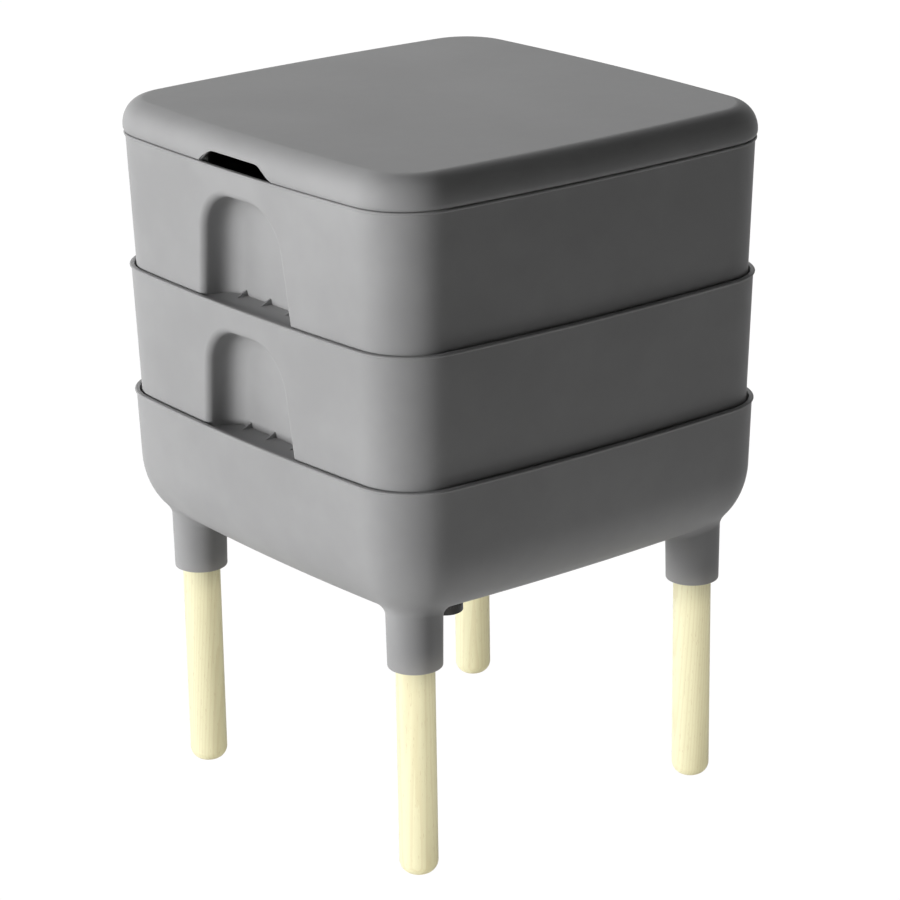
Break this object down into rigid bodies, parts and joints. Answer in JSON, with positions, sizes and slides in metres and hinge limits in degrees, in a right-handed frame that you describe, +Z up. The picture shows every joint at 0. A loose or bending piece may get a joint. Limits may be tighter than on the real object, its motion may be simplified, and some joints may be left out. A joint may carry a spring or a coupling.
{
  "type": "wormery",
  "caption": "Stacking worm composter: lidded trays with hand recesses over a collector base with a drain tap, standing on wooden dowel legs.",
  "frame": {"origin": "on the floor under the middle of the stack", "axes": "+Z up; -Y is the front, with the hand recesses and the lid's slot; +X is the object's right seen from the front"},
  "size_m": [0.386, 0.386, 0.5571],
  "materials": {
    "grey_plastic": "fine grained, matte",
    "leg_wood": "planed and clear sealed",
    "drain_plastic": "satin",
    "seal_rubber": "matte"
  },
  "bodies": {
    "stand": {"base": "grey_plastic", "leg_front_left": "leg_wood", "leg_front_right": "leg_wood", "leg_back_left": "leg_wood", "leg_back_right": "leg_wood", "drain_spigot": "drain_plastic", "drain_nut": "drain_plastic", "drain_washer": "seal_rubber", "drain_o_ring": "seal_rubber"},
    "drain_valve": {"drain_sleeve": "drain_plastic"},
    "lower_tray": {"tray_lower": "grey_plastic"},
    "upper_tray": {"tray_upper": "grey_plastic"},
    "cover": {"lid": "grey_plastic"}
  },
  "joints": [
    {"name": "lower_tray_lift", "type": "slide", "parent": "stand", "child": "lower_tray", "axis": [0, 0, 1], "range_m": [0, 0.15]},
    {"name": "upper_tray_lift", "type": "slide", "parent": "lower_tray", "child": "upper_tray", "axis": [0, 0, 1], "range_m": [0, 0.15]},
    {"name": "lid_lift", "type": "slide", "parent": "upper_tray", "child": "cover", "axis": [0, 0, 1], "range_m": [0, 0.15]},
    {"name": "drain_turn", "type": "hinge", "parent": "stand", "child": "drain_valve", "pos_m": [0, 0, 0.17], "axis": [0, 0, 1], "range_deg": [0, 90]}
  ]
}
